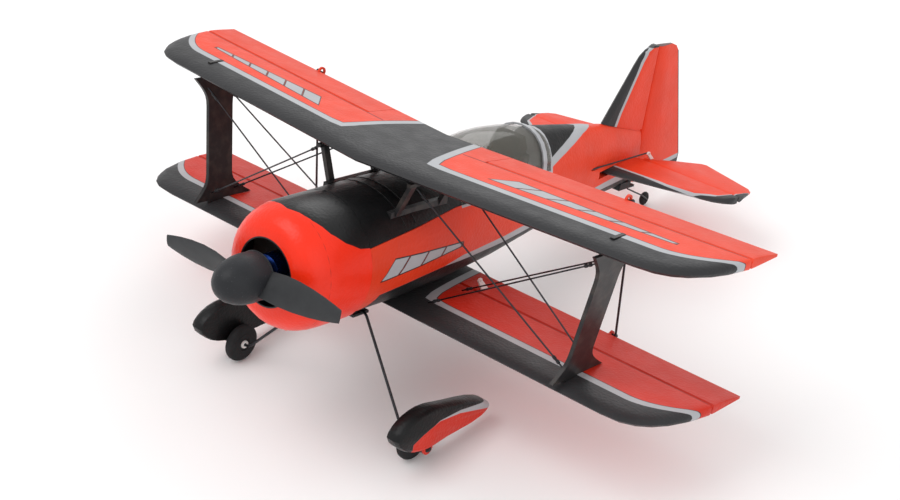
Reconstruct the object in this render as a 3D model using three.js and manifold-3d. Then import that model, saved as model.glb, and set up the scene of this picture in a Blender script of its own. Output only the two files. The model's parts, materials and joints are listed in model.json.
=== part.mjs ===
// Radio controlled aerobatic biplane, ultra-micro size. Millimetres, +Z up.
// The aircraft is drawn level: nose towards -Y with the spinner tip at y = 0, port wing towards +X,
// z = 0 on the thrust line. The outer group then sets it down on its three wheels.
import * as THREE from "three";
import { mergeVertices } from "three/addons/utils/BufferGeometryUtils.js";
import Module from "manifold-3d";

const wasm = await Module();
wasm.setup();

// ---- driving dimensions ----
const GAP = 0.3; // between glued or seated pieces
const FREE = 0.4; // between pieces that move past each other

const TOP = {
  half: 189,
  lead: 84.6,
  sweep: 0.121,
  chord: 72.8,
  z: 49.6,
  thick: 7.2,
  hinge: 0.675,
  cut: 40.6,
};
const LOW = {
  half: 187.4,
  lead: 106.5,
  sweep: 0,
  chord: 76,
  z: -29.2,
  thick: 7,
  hinge: 0.658,
  cut: 25.1,
};
const TIP_ROUND = 34; // spanwise length of a rounded wing tip
const TRAIL_EDGE = 1.3; // thickness of the wings' trailing edges
const BEVEL = THREE.MathUtils.degToRad(36); // bevel on the nose of each control surface

const COWL = { front: 31.4, rear: 72, mouth: 17.25, radius: 33.2, round: 20, wall: 1.3 };
const SPIN = { radius: 12.5, length: 25.5, wall: 0.9 };
const PROP = { radius: 59.3, y: 21.5, pitch: 62, hub: 5.2, hubLength: 8, rest: 0.065 };
const SHAFT_R = 0.8;
const MOTOR = { front: 30, bell: 13, radius: 9, baseRadius: 8.4 };
const FIREWALL = { y: 50.6, thick: 2, radius: 28 };

// Fuselage stations: y, half width, top, bottom, height of the widest line, squareness.
const STATIONS = [
  [72.3, 33.2, 33.4, -31.5, 0, 2.0],
  [110, 33.0, 33.6, -31.0, 0, 2.1],
  [147, 31.0, 33.5, -29.2, 0, 2.15],
  [190, 27.0, 38.0, -25.8, 1, 2.2],
  [238, 19.8, 42.0, -20.8, 2, 2.25],
  [288, 13.2, 35.2, -16.8, 3, 2.25],
  [312, 9.6, 31.6, -15.2, 4, 2.2],
  [354, 4.2, 22.0, -13.8, 5, 2.1],
];
const HOOD = { rear: 147, sillFront: 15, sillRear: 21.5, wall: 2 };
const DECK = { front: 147.3, rear: 236, z: 21.5 }; // flat deck that carries the canopy
const COCKPIT = { front: 158, rear: 224, half: 15, floor: -2 };
const BAY = { front: 78, rear: 140, half: 16, floor: -12 };
const CANOPY = { peak: 47.4, peakY: 194, wall: 0.9 };
const BOW = { y: 225, width: 4, thick: 1 };

const STRUT = { top: 137, foot: 126.5, thick: 2.2, waist: [112, 130], head: [102.5, 140], toe: [102.7, 145] };
const TAB = [113, 123]; // the strut's tabs, fore and aft
const CABANE = { footX: 22.2, topX: 31, front: 96.8, rear: 131, bar: 2.6 };
const WIRE_R = 0.45;
const PACK = { half: 8.5, tall: 4.8, front: 82, rear: 111 }; // battery: half width, half height
const BOARD_EDGE = { half: 12, front: 114, rear: 137 }; // receiver board
const LINK = { x: 107.5, plate: 1.2, reach: 2.2, rod: 0.65, side: 2.6, ball: 1.3, pin: 0.5 };

const TAIL = { z: 3.9, thick: 4.2, half: 80.4, hinge: 349.2 };
const RUDDER = { axis: 355.6, top: 76, bottom: -14.2, thick: 4.4, trailTop: 382, trailBottom: 411 };
const FIN = { lead: 302, top: 77 };
const JOINER_R = 1;
const HORN = { elevator: 6.5, rudder: 10.5, elevatorX: 12, thick: 1, rudderZ: -9, aileronX: 38 };
const PUSHROD = { radius: 0.5, front: 276, bore: 1.1 };

const WHEEL = { x: 63.2, y: 86.5, z: -81.5, radius: 10.6, width: 5.4, hub: 5.6 };
const GEAR = { wire: 0.8, topX: 14, y: 95, z: -32.8, innerX: 57, outerX: 73.5 };
const PANT = { inner: 67.4, outer: 76, round: 2.6 };
const TAILWHEEL = { y: 379.7, z: -30.7, radius: 4.6, width: 3, wire: 0.5, side: 2.9 };

// ---- looks of the plain model ----
const paint = (color, roughness = 0.6, metalness = 0) => ({ color, roughness, metalness });
const ORANGE = paint(0xe8401c, 0.55);
const BLACK = paint(0x1b1a1d, 0.6);
const PLASTIC = paint(0x141416, 0.4);
const SMOKE = paint(0x39393c, 0.15);
const SILVER = paint(0xb8b9c0, 0.4, 0.3);
const STEEL = paint(0x8a8c90, 0.3, 0.9);
const WHITE = paint(0xe9e9e6, 0.5);
const RUBBER = paint(0x101011, 0.85);
const BLUE = paint(0x23407e, 0.35, 0.6);
const BOARD = paint(0x1f5a35, 0.5);
const CARBON = paint(0x202124, 0.45);

// ---- solids ----
function solidOf(geometry) {
  const plain = geometry.index ? geometry.toNonIndexed() : geometry.clone();
  plain.deleteAttribute("normal");
  plain.deleteAttribute("uv");
  const merged = mergeVertices(plain, 1e-4);
  const make = (triangles) =>
    new wasm.Manifold(
      new wasm.Mesh({
        numProp: 3,
        vertProperties: merged.attributes.position.array,
        triVerts: triangles,
      }),
    );
  const triangles = new Uint32Array(merged.index.array);
  const made = make(triangles);
  return made.volume() < 0 ? make(triangles.reverse()) : made;
}

function geometryOf(solid) {
  const mesh = solid.getMesh();
  const geometry = new THREE.BufferGeometry();
  geometry.setAttribute("position", new THREE.BufferAttribute(mesh.vertProperties, 3));
  geometry.setIndex(new THREE.BufferAttribute(mesh.triVerts, 1));
  const flat = geometry.toNonIndexed();
  flat.computeVertexNormals();
  return flat;
}

const join = (...solids) => solids.reduce((a, b) => a.add(b));
const cut = (solid, ...tools) => tools.reduce((a, b) => a.subtract(b), solid);

// Rings of the same number of points, joined into one closed body with flat ends.
function loft(rings) {
  const n = rings[0].length;
  const points = rings.flat();
  const middle = (ring) => ring.reduce((a, p) => a.clone().add(p), new THREE.Vector3()).divideScalar(n);
  points.push(middle(rings[0]), middle(rings[rings.length - 1]));
  const index = [];
  for (let k = 0; k + 1 < rings.length; k++)
    for (let i = 0; i < n; i++) {
      const a = k * n + i;
      const b = k * n + ((i + 1) % n);
      index.push(a, b, a + n, b, b + n, a + n);
    }
  const last = (rings.length - 1) * n;
  for (let i = 0; i < n; i++) {
    const j = (i + 1) % n;
    index.push(points.length - 2, j, i);
    index.push(points.length - 1, last + i, last + j);
  }
  const geometry = new THREE.BufferGeometry().setFromPoints(points);
  geometry.setIndex(index);
  return solidOf(geometry);
}

function box(x0, x1, y0, y1, z0, z1) {
  const geometry = new THREE.BoxGeometry(x1 - x0, y1 - y0, z1 - z0);
  return solidOf(geometry.translate((x0 + x1) / 2, (y0 + y1) / 2, (z0 + z1) / 2));
}

// An outline in the Y-Z plane, extruded along +X from x0 to x1.
function plate(outline, x0, x1) {
  const shape = new THREE.Shape(outline.map(([y, z]) => new THREE.Vector2(y, z)));
  const geometry = new THREE.ExtrudeGeometry(shape, { depth: x1 - x0, bevelEnabled: false });
  const turn = new THREE.Matrix4().makeBasis(
    new THREE.Vector3(0, 1, 0),
    new THREE.Vector3(0, 0, 1),
    new THREE.Vector3(1, 0, 0),
  );
  return solidOf(geometry.applyMatrix4(turn).translate(x0, 0, 0));
}

// A round bar between two points.
function rod(a, b, radius, sides = 10) {
  const from = new THREE.Vector3(...a);
  const along = new THREE.Vector3(...b).sub(from);
  const geometry = new THREE.CylinderGeometry(radius, radius, along.length(), sides);
  geometry.translate(0, along.length() / 2, 0);
  const turn = new THREE.Quaternion().setFromUnitVectors(
    new THREE.Vector3(0, 1, 0),
    along.clone().normalize(),
  );
  return solidOf(geometry.applyQuaternion(turn).translate(...a));
}

const ball = (x, y, z, radius) => solidOf(new THREE.SphereGeometry(radius, 8, 5).translate(x, y, z));

// A profile of [radius, y] pairs turned about the Y axis.
function turned(profile, sides = 36) {
  const points = profile.map(([r, y]) => new THREE.Vector2(r, y));
  return solidOf(new THREE.LatheGeometry(points, sides));
}

// The same, about an X axis through y, z, with the profile's second value along +X.
function turnedAcross(profile, x, y, z, sides = 28) {
  const points = profile.map(([r, along]) => new THREE.Vector2(r, along));
  const geometry = new THREE.LatheGeometry(points, sides).rotateZ(-Math.PI / 2);
  return solidOf(geometry.translate(x, y, z));
}

// A wire of round section along straight runs with rounded corners.
function wire(corners, radius, bend, sides = 8) {
  const at = corners.map((c) => new THREE.Vector3(...c));
  const path = [at[0]];
  for (let i = 1; i + 1 < at.length; i++) {
    const into = at[i].clone().add(at[i - 1].clone().sub(at[i]).setLength(bend));
    const out = at[i].clone().add(at[i + 1].clone().sub(at[i]).setLength(bend));
    path.push(...new THREE.QuadraticBezierCurve3(into, at[i], out).getPoints(5));
  }
  path.push(at[at.length - 1]);
  const across = new THREE.Vector3(0.31, 0.87, 0.39);
  const rings = path.map((point, i) => {
    const before = path[Math.max(i - 1, 0)];
    const after = path[Math.min(i + 1, path.length - 1)];
    const along = after.clone().sub(before).normalize();
    across.addScaledVector(along, -across.dot(along)).normalize();
    const side = along.clone().cross(across);
    return Array.from({ length: sides }, (_, k) => {
      const a = (2 * Math.PI * k) / sides;
      const out = across.clone().multiplyScalar(radius * Math.cos(a));
      return out.addScaledVector(side, radius * Math.sin(a)).add(point);
    });
  });
  return loft(rings);
}

const lerp = (a, b, t) => a + (b - a) * t;
const mirrored = (solid) => solid.mirror([1, 0, 0]);

// Slides every point by `amount(point)` along one axis, which keeps a body closed.
const shear = (solid, axis, amount) =>
  solid.warp((p) => {
    p[axis] += amount(p);
  });

// ---- wings ----
const leadAt = (w, x) => w.lead + w.sweep * Math.abs(x);
const trailAt = (w, x) => leadAt(w, x) + w.chord;
const hingeAt = (w, x) => leadAt(w, x) + w.hinge * w.chord;

// Leading edge including the rounded tip.
function frontAt(w, x) {
  const t = Math.max(0, (Math.abs(x) - (w.half - TIP_ROUND)) / TIP_ROUND);
  const back = 1 - Math.pow(Math.max(0, 1 - Math.pow(t, 2.6)), 1 / 2.6);
  return leadAt(w, x) + back * (w.chord - 1.5);
}

// Half thickness of the symmetric section at a share s of the chord.
function sectionHalf(s, thick) {
  const full = 1.4845 * Math.sqrt(s) - 0.63 * s - 1.758 * s ** 2 + 1.4215 * s ** 3 - 0.518 * s ** 4;
  return Math.max(full * thick, 0) + (s * TRAIL_EDGE) / 2;
}

function wingRing(w, x) {
  const steps = 9;
  const front = frontAt(w, x);
  const chord = trailAt(w, x) - front;
  const thick = w.thick * Math.sqrt(chord / w.chord);
  const ring = [];
  for (let i = -steps; i <= steps; i++) {
    const s = (1 - Math.cos((Math.PI * i) / steps)) / 2;
    const side = i < 0 ? 1 : -1;
    ring.push(new THREE.Vector3(x, front + s * chord, w.z + side * sectionHalf(s, thick)));
  }
  return ring;
}

function wholeWing(w) {
  const tips = [0, 0.3, 0.5, 0.66, 0.79, 0.89, 0.96, 1];
  const side = tips.map((t) => w.half - TIP_ROUND + t * TIP_ROUND);
  const spans = [...side.map((x) => -x).reverse(), 0, ...side];
  return loft(spans.map((x) => wingRing(w, x)));
}

// The prism behind the hinge line from x0 outwards; bevelled, it leaves the aileron's sharp nose.
function behindHinge(w, x0, offset, bevel) {
  const high = 9;
  const back = w.chord;
  const nose = offset + high * Math.tan(bevel);
  const outline = [
    [offset, 0],
    [nose, -high],
    [back, -high],
    [back, high],
    [nose, high],
  ].map(([y, z]) => [hingeAt(w, 0) + y, w.z + z]);
  return shear(plate(outline, x0, w.half + 5), 1, (p) => w.sweep * Math.abs(p[0]));
}

// The small plate on an aileron's trailing edge that takes the link rod's pin.
const linkPivot = (w) => ({ x: LINK.x, y: trailAt(w, LINK.x) + LINK.reach, z: w.z });

function linkPlate(w, hole) {
  const pivot = linkPivot(w);
  const size = hole + 1.1;
  const half = LINK.plate / 2;
  const eye = rod([pivot.x - half, pivot.y, pivot.z], [pivot.x + half, pivot.y, pivot.z], size, 16);
  const root = box(pivot.x - half, pivot.x + half, pivot.y - LINK.reach - 4, pivot.y, pivot.z - 1, pivot.z + 1);
  const bore = rod([pivot.x - 2, pivot.y, pivot.z], [pivot.x + 2, pivot.y, pivot.z], hole, 12);
  return cut(join(eye, root), bore);
}

function aileron(w, hole) {
  const blade = wholeWing(w).intersect(behindHinge(w, w.cut + FREE, FREE, BEVEL));
  return join(blade, linkPlate(w, hole));
}

const strutLean = (STRUT.top - STRUT.foot) / (TOP.z - LOW.z);
const strutX = (z) => STRUT.foot + (z - LOW.z) * strutLean;

// Interplane strut: a thin plate with a waist, flared head and foot, and a tab into each wing.
function strutOutline(grow) {
  const roof = TOP.z - TOP.thick / 2 - FREE;
  const floor = LOW.z + LOW.thick / 2 + FREE;
  const waistTop = roof - 17;
  const waistBottom = floor + 15;
  const edge = (y0, y1, z0, z1) => {
    const curve = new THREE.CubicBezierCurve(
      new THREE.Vector2(y0, z0),
      new THREE.Vector2(lerp(y0, y1, 0.75), lerp(z0, z1, 0.45)),
      new THREE.Vector2(y1, lerp(z0, z1, 0.6)),
      new THREE.Vector2(y1, z1),
    );
    return curve.getPoints(6).map((p) => [p.x, p.y]);
  };
  const frontEdge = [
    ...edge(STRUT.head[0], STRUT.waist[0], roof, waistTop),
    ...edge(STRUT.toe[0], STRUT.waist[0], floor, waistBottom).reverse(),
  ];
  const rearEdge = [
    ...edge(STRUT.toe[1], STRUT.waist[1], floor, waistBottom),
    ...edge(STRUT.head[1], STRUT.waist[1], roof, waistTop).reverse(),
  ];
  const tab = (z0, z1) => box(-1 - grow, 1 + grow, TAB[0] - grow, TAB[1] + grow, z0, z1);
  const web = plate([...frontEdge, ...rearEdge], -STRUT.thick / 2, STRUT.thick / 2);
  const tabs = join(
    tab(roof - 1, TOP.z + TOP.thick / 2 + 0.5 + 10 * grow),
    tab(LOW.z - LOW.thick / 2 - 10 * grow, floor + 1),
  );
  return { web, tabs };
}

function strutPlace(solid) {
  return shear(solid, 0, (p) => strutX(p[2]));
}

const strut = strutOutline(0);
const strutSlots = strutPlace(strutOutline(GAP).tabs);
const strutSolid = strutPlace(join(strut.web, strut.tabs));

const bothSides = (solid) => [solid, mirrored(solid)];

// ---- fuselage ----
function skinAt(y) {
  let k = 0;
  while (k + 2 < STATIONS.length && STATIONS[k + 1][0] < y) k++;
  const [a, b] = [STATIONS[k], STATIONS[k + 1]];
  const t = (y - a[0]) / (b[0] - a[0]);
  const [, half, top, bottom, wide, square] = a.map((v, i) => lerp(v, b[i], t));
  return { half, top, bottom, wide, square };
}

function skinRing(y, grow) {
  const { half, top, bottom, wide, square } = skinAt(y);
  const sides = 36;
  const ring = [];
  for (let i = 0; i < sides; i++) {
    const a = (2 * Math.PI * i) / sides;
    const c = Math.cos(a);
    const s = Math.sin(a);
    const reach = s > 0 ? top - wide + grow : wide - bottom + grow;
    const x = Math.sign(c) * (half + grow) * Math.abs(c) ** (2 / square);
    const z = wide + Math.sign(s) * reach * Math.abs(s) ** (2 / square);
    ring.push(new THREE.Vector3(x, y, z));
  }
  return ring;
}

function skin(grow, y0 = STATIONS[0][0], y1 = STATIONS[STATIONS.length - 1][0]) {
  const inner = STATIONS.map((s) => s[0]).filter((y) => y > y0 + 1 && y < y1 - 1);
  return loft([y0, ...inner, y1].map((y) => skinRing(y, grow)));
}

// Everything above the hood's sill, which rises towards the cockpit.
const hoodZone = (drop, y0, y1) => {
  const slope = (HOOD.sillRear - HOOD.sillFront) / (HOOD.rear - STATIONS[0][0]);
  const sill = (y) => HOOD.sillFront + slope * (y - STATIONS[0][0]) - drop;
  return plate([[y0, sill(y0)], [y1, sill(y1)], [y1, 60], [y0, 60]], -60, 60);
};

function canopyRing(y, grow) {
  const rise = y < CANOPY.peakY ? (CANOPY.peakY - y) / (CANOPY.peakY - DECK.front) : 0;
  const fall = y > CANOPY.peakY ? (y - CANOPY.peakY) / (DECK.rear - CANOPY.peakY) : 0;
  const front = skinAt(HOOD.rear).top;
  const rear = skinAt(DECK.rear).top;
  const top = CANOPY.peak + (front - CANOPY.peak) * rise ** 2 + (rear - CANOPY.peak) * fall ** 2;
  const deckHalf = deckHalfAt(y) - 0.5;
  const ring = [];
  const sides = 24;
  for (let i = 0; i < sides; i++) {
    const a = (2 * Math.PI * i) / sides;
    const c = Math.cos(a);
    const s = Math.sin(a);
    const x = Math.sign(c) * (deckHalf + grow) * Math.abs(c) ** (2 / 2.2);
    const z = DECK.z + Math.sign(s) * (top - DECK.z + grow) * Math.abs(s) ** (2 / 2.2);
    ring.push(new THREE.Vector3(x, y, z));
  }
  return ring;
}

// Half width of the fuselage where the canopy deck cuts it.
function deckHalfAt(y) {
  const { half, top, wide, square } = skinAt(y);
  return half * (1 - ((DECK.z - wide) / (top - wide)) ** square) ** (1 / square);
}

function canopyLoft(grow, y0, y1) {
  const steps = 7;
  const spans = Array.from({ length: steps + 1 }, (_, i) => lerp(y0, y1, i / steps));
  return loft(spans.map((y) => canopyRing(y, grow)));
}

const aboveDeck = box(-60, 60, 100, 300, DECK.z + GAP, 90);

const wingSaddle = box(
  -60, 60, LOW.lead - GAP, LOW.lead + LOW.chord + 1,
  LOW.z - 10, LOW.z + LOW.thick / 2 + GAP,
);

function rodBore(x, z) {
  return rod([x, PUSHROD.front - 12, z], [x, 340, z], PUSHROD.bore, 10);
}

const elevatorRodZ = TAIL.z + HORN.elevator;

function fuselage() {
  const hoodCut = hoodZone(GAP, 60, HOOD.rear + GAP);
  const deckCut = box(-60, 60, HOOD.rear + GAP - 0.01, DECK.rear, DECK.z, 90);
  const cockpit = box(-COCKPIT.half, COCKPIT.half, COCKPIT.front, COCKPIT.rear, COCKPIT.floor, 60);
  const bay = box(-BAY.half, BAY.half, BAY.front, BAY.rear, BAY.floor, 60);
  const tailSlot = box(-60, 60, 300, TAIL.hinge - JOINER_R, TAIL.z - TAIL.thick / 2 - GAP, TAIL.z + TAIL.thick / 2 + GAP);
  const joiner = rod([-20, TAIL.hinge, TAIL.z], [20, TAIL.hinge, TAIL.z], JOINER_R + FREE, 14);
  const gearSlot = box(
    -GEAR.topX - 4, GEAR.topX + 4,
    GEAR.y - GEAR.wire - FREE, GEAR.y + GEAR.wire + FREE,
    -40, GEAR.z + GEAR.wire + GAP,
  );
  return cut(
    skin(0),
    hoodCut,
    deckCut,
    cockpit,
    bay,
    wingSaddle,
    tailSlot,
    joiner,
    gearSlot,
    rodBore(HORN.elevatorX, elevatorRodZ),
    rodBore(-HORN.rudder, HORN.rudderZ),
  );
}

function hood() {
  const shell = cut(skin(0, STATIONS[0][0], HOOD.rear), skin(-HOOD.wall, 60, 160));
  return shell.intersect(hoodZone(0, 60, 160));
}

function canopy() {
  const [y0, y1] = [DECK.front + GAP, DECK.rear - GAP];
  return cut(canopyLoft(0, y0, y1), canopyLoft(-CANOPY.wall, y0 - 1, y1 + 1)).intersect(aboveDeck);
}

// The silver bow over the rear of the canopy.
function bow() {
  const [y0, y1] = [BOW.y, BOW.y + BOW.width];
  const arch = cut(canopyLoft(GAP + BOW.thick, y0, y1), canopyLoft(GAP, y0 - 1, y1 + 1));
  return arch.intersect(aboveDeck);
}

function cowl() {
  const outline = (grow) => {
    const points = [];
    for (let i = 0; i <= 6; i++) {
      const a = (Math.PI / 2) * (i / 6);
      const r = COWL.mouth + (COWL.radius - COWL.mouth) * Math.sin(a) ** 0.8;
      const y = COWL.front + COWL.round * (1 - Math.cos(a));
      points.push([r - grow * Math.sin(a) ** 0.5, y + grow * Math.cos(a)]);
    }
    points.push([COWL.radius + 0.2 - grow, COWL.rear]);
    return points;
  };
  const inside = outline(COWL.wall).reverse();
  const profile = [...outline(0), ...inside, outline(0)[0]];
  return turned(profile, 32);
}

// ---- propeller and motor ----
function bladeRing(r, grow) {
  const u = r / PROP.radius;
  const chord = 15.5 * Math.sin(Math.PI * Math.min(0.97, 0.22 + 0.68 * u)) ** 0.75;
  const half = chord / 2 + grow;
  const thick = lerp(1.5, 0.45, u) + grow;
  const twist = Math.atan(PROP.pitch / (2 * Math.PI * Math.max(r, 12)));
  const points = 12;
  const ring = [];
  for (let i = 0; i < points; i++) {
    const a = (2 * Math.PI * i) / points;
    const along = half * Math.cos(a);
    const out = thick * Math.sin(a) + 0.05 * half * Math.cos(a) ** 2;
    ring.push(
      new THREE.Vector3(
        r,
        PROP.y + along * Math.sin(twist) + out * Math.cos(twist),
        along * Math.cos(twist) - out * Math.sin(twist),
      ),
    );
  }
  return ring;
}

function blades(grow) {
  const shares = [0.04, 0.2, 0.36, 0.52, 0.68, 0.82, 0.92, 0.97, 1];
  const blade = loft(shares.map((u) => bladeRing(u * PROP.radius, grow)));
  return join(blade, blade.rotate([0, 180, 0]));
}

const restTurn = (solid) => solid.rotate([0, -THREE.MathUtils.radToDeg(PROP.rest), 0]);

function propeller() {
  const [y0, y1] = [PROP.y - PROP.hubLength / 2, PROP.y + PROP.hubLength / 2];
  const hub = turned([[0, y0], [PROP.hub, y0], [PROP.hub, y1], [0, y1]], 24);
  const bore = rod([0, 0, 0], [0, 40, 0], SHAFT_R + GAP, 10);
  return restTurn(cut(join(blades(0), hub), bore));
}

function spinner() {
  const shape = (radius, length, y0) => {
    const points = [];
    for (let i = 0; i <= 6; i++) {
      const a = (Math.PI / 2) * (i / 6);
      points.push([radius * Math.sin(a) ** 0.92, y0 + length * 0.74 * (1 - Math.cos(a))]);
    }
    points.push([radius * 0.97, y0 + length], [0, y0 + length]);
    return points;
  };
  const outside = turned(shape(SPIN.radius, SPIN.length, 0), 24);
  const inside = turned(shape(SPIN.radius - SPIN.wall, SPIN.length + 1, SPIN.wall), 24);
  const behind = box(-20, 20, SPIN.length, SPIN.length + 30, -20, 20);
  return restTurn(cut(outside, join(inside, behind), blades(GAP)));
}

function motorBell() {
  const { front, bell, radius } = MOTOR;
  const wall = 1;
  const profile = [
    [SHAFT_R + GAP, front],
    [radius * 0.7, front],
    [radius, front + 2],
    [radius, front + bell],
    [radius - wall, front + bell],
    [radius - wall, front + 3],
    [SHAFT_R + GAP, front + 3],
    [SHAFT_R + GAP, front],
  ];
  const vents = [];
  for (let i = 0; i < 6; i++)
    vents.push(box(3, 6, front - 1, front + 4, -0.9, 0.9).rotate([0, i * 60, 0]));
  return cut(turned(profile, 24), ...vents);
}

function motorBase() {
  const y0 = MOTOR.front + MOTOR.bell + FREE;
  const y1 = FIREWALL.y - GAP;
  const core = MOTOR.radius - 1 - FREE - 1.2;
  const inner = SHAFT_R + FREE;
  const profile = [
    [inner, MOTOR.front + 4],
    [core, MOTOR.front + 4],
    [core, y0],
    [MOTOR.baseRadius, y0],
    [MOTOR.baseRadius, y1],
    [inner, y1],
    [inner, MOTOR.front + 4],
  ];
  const feet = [45, 135, 225, 315].map((a) => box(0, 12.5, y1 - 1.6, y1, -2, 2).rotate([0, a, 0]));
  return cut(join(turned(profile, 24), ...feet), rod([0, 0, 0], [0, 90, 0], inner, 12));
}

function firewall() {
  const { y, thick, radius } = FIREWALL;
  const disc = turned([[0, y], [radius, y], [radius, y + thick], [0, y + thick]], 30);
  const bore = rod([0, y - 1, 0], [0, y + thick + 1, 0], 2.5, 16);
  const airHoles = [60, 120, 240, 300].map((a) =>
    rod([0, y - 1, 19], [0, y + thick + 1, 19], 3.6, 12).rotate([0, a, 0]),
  );
  return cut(disc, bore, ...airHoles);
}

// ---- tail ----
// One ring of a thin surface: `at` maps chord and thickness to a point.
function surfaceRing(lead, trail, thick, nose, edge, at) {
  const half = thick / 2;
  const depth = Math.min(nose, (trail - lead) * 0.45);
  const side = [
    [lead + depth * 0.3, half * 0.62],
    [lead + depth, half],
    [lerp(lead + depth, trail, 0.5), lerp(half, edge, 0.35)],
    [trail, edge],
  ];
  const upper = side.map(([y, t]) => at(y, t));
  const lower = side.map(([y, t]) => at(y, -t)).reverse();
  return [at(lead, 0), ...upper, ...lower];
}

const bevelDepth = (thick) => (thick / 2) * Math.tan(BEVEL) * 1.6;

function stabilizer() {
  const trail = TAIL.hinge - FREE;
  const leadLine = (x) => 305.5 + 0.358 * x;
  const rows = [
    [0, leadLine(4)],
    [4, leadLine(4)],
    [64, leadLine(64)],
    [72, leadLine(73)],
    [77, 335.5],
    [79.6, 339.5],
    [TAIL.half, 343.5],
  ];
  const ring = ([x, lead]) =>
    surfaceRing(lead, trail, TAIL.thick, 5, TAIL.thick / 2, (y, t) => new THREE.Vector3(x, y, TAIL.z + t));
  const right = rows.slice(1).map(([x, lead]) => [-x, lead]).reverse();
  const notch = box(-18.2, 18.2, TAIL.hinge - JOINER_R - FREE, TAIL.hinge + 5, TAIL.z - 5, TAIL.z + 5);
  return cut(loft([...right, ...rows].map(ring)), notch);
}

function elevatorHalf() {
  const lead = TAIL.hinge + FREE;
  const rows = [
    [9.9, 355.8],
    [21.8, 371.2],
    [33.5, 383.6],
    [36.5, 384.6],
    [74.6, 371.8],
    [78.2, 368],
    [TAIL.half, 356],
  ];
  const ring = ([x, trail]) =>
    surfaceRing(lead, trail, TAIL.thick, bevelDepth(TAIL.thick), 0.6, (y, t) => new THREE.Vector3(x, y, TAIL.z + t));
  const socket = rod([0, TAIL.hinge, TAIL.z], [18, TAIL.hinge, TAIL.z], JOINER_R + GAP, 12);
  return cut(loft(rows.map(ring)), socket);
}

function fin() {
  const trail = RUDDER.axis - FREE - 0.8;
  const rows = [
    [14, FIN.lead - 12],
    [31, FIN.lead + 6],
    [66, 333],
    [71, 337],
    [74.5, 342],
    [FIN.top, 350],
  ];
  const ring = ([z, lead]) =>
    surfaceRing(lead, trail, RUDDER.thick, 5, RUDDER.thick / 2, (y, t) => new THREE.Vector3(t, y, z));
  return cut(loft(rows.map(ring)), skin(GAP, 240, 353.9), box(-9, 9, 280, 360, 0, 22.4));
}

function rudder() {
  const lead = RUDDER.axis + FREE;
  const slope = (RUDDER.trailTop - RUDDER.trailBottom) / (70 + 4);
  const rows = [
    [RUDDER.bottom, RUDDER.trailBottom - 6],
    [RUDDER.bottom + 2, RUDDER.trailBottom - 1.5],
    [RUDDER.bottom + 5, RUDDER.trailBottom],
    [-4, RUDDER.trailBottom],
    [70, RUDDER.trailBottom + slope * 74],
    [74, RUDDER.trailTop - 4],
    [RUDDER.top, RUDDER.trailTop - 10],
  ];
  const ring = ([z, trail]) =>
    surfaceRing(lead, trail, RUDDER.thick, bevelDepth(RUDDER.thick), 0.6, (y, t) => new THREE.Vector3(t, y, z));
  return loft(rows.map(ring));
}

// A control horn: a small tapered plate with a hole at its end.
function hornOutline(base0, base1, tip, reach) {
  return [
    [base0, 0],
    [base1, 0],
    [tip + 1.6, reach],
    [tip + 0.9, reach + 1.3],
    [tip - 0.9, reach + 1.3],
    [tip - 1.6, reach],
  ];
}

function elevatorHorn() {
  const x = HORN.elevatorX + PUSHROD.radius + 0.6;
  const foot = TAIL.z + TAIL.thick / 2 + GAP;
  const reach = elevatorRodZ - foot;
  const outline = hornOutline(3.2, 6.8, 0, reach).map(([y, z]) => [TAIL.hinge + y, foot + z]);
  const hole = rod([x - 3, TAIL.hinge, elevatorRodZ], [x + 3, TAIL.hinge, elevatorRodZ], 0.8, 10);
  return cut(plate(outline, x, x + HORN.thick), hole);
}

function rudderHorn() {
  const start = RUDDER.thick / 2 + GAP;
  const reach = HORN.rudder - start;
  const outline = hornOutline(3.6, 8, 0, reach);
  const shape = new THREE.Shape(outline.map(([y, x]) => new THREE.Vector2(-(start + x), RUDDER.axis + y)));
  const geometry = new THREE.ExtrudeGeometry(shape, { depth: HORN.thick, bevelEnabled: false });
  geometry.translate(0, 0, HORN.rudderZ - PUSHROD.radius - 0.5 - HORN.thick);
  const hole = rod([-HORN.rudder, RUDDER.axis, -20], [-HORN.rudder, RUDDER.axis, 0], 0.8, 10);
  return cut(solidOf(geometry), hole);
}

function aileronHorn() {
  const y0 = hingeAt(LOW, HORN.aileronX);
  const foot = LOW.z + 2.9;
  const outline = hornOutline(3.4, 9, 0.5, 6.5).map(([y, z]) => [y0 + y, foot + z]);
  const hole = rod([HORN.aileronX - 3, y0 + 0.5, foot + 6.5], [HORN.aileronX + 3, y0 + 0.5, foot + 6.5], 0.6, 8);
  return cut(plate(outline, HORN.aileronX - 0.6, HORN.aileronX + 0.6), hole);
}

const elevatorRod = () =>
  rod([HORN.elevatorX, PUSHROD.front, elevatorRodZ], [HORN.elevatorX, TAIL.hinge + 1, elevatorRodZ], PUSHROD.radius, 8);
const rudderRod = () =>
  rod([-HORN.rudder, PUSHROD.front, HORN.rudderZ], [-HORN.rudder, RUDDER.axis + 1, HORN.rudderZ], PUSHROD.radius, 8);

// ---- undercarriage ----
function gearWire() {
  const { topX, y, z, innerX, outerX } = GEAR;
  const half = [
    [outerX, WHEEL.y, WHEEL.z],
    [innerX, WHEEL.y, WHEEL.z],
    [topX, y, z],
  ];
  const other = half.map(([x, ...rest]) => [-x, ...rest]).reverse();
  return wire([...half, ...other], GEAR.wire, 2.5);
}

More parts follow.
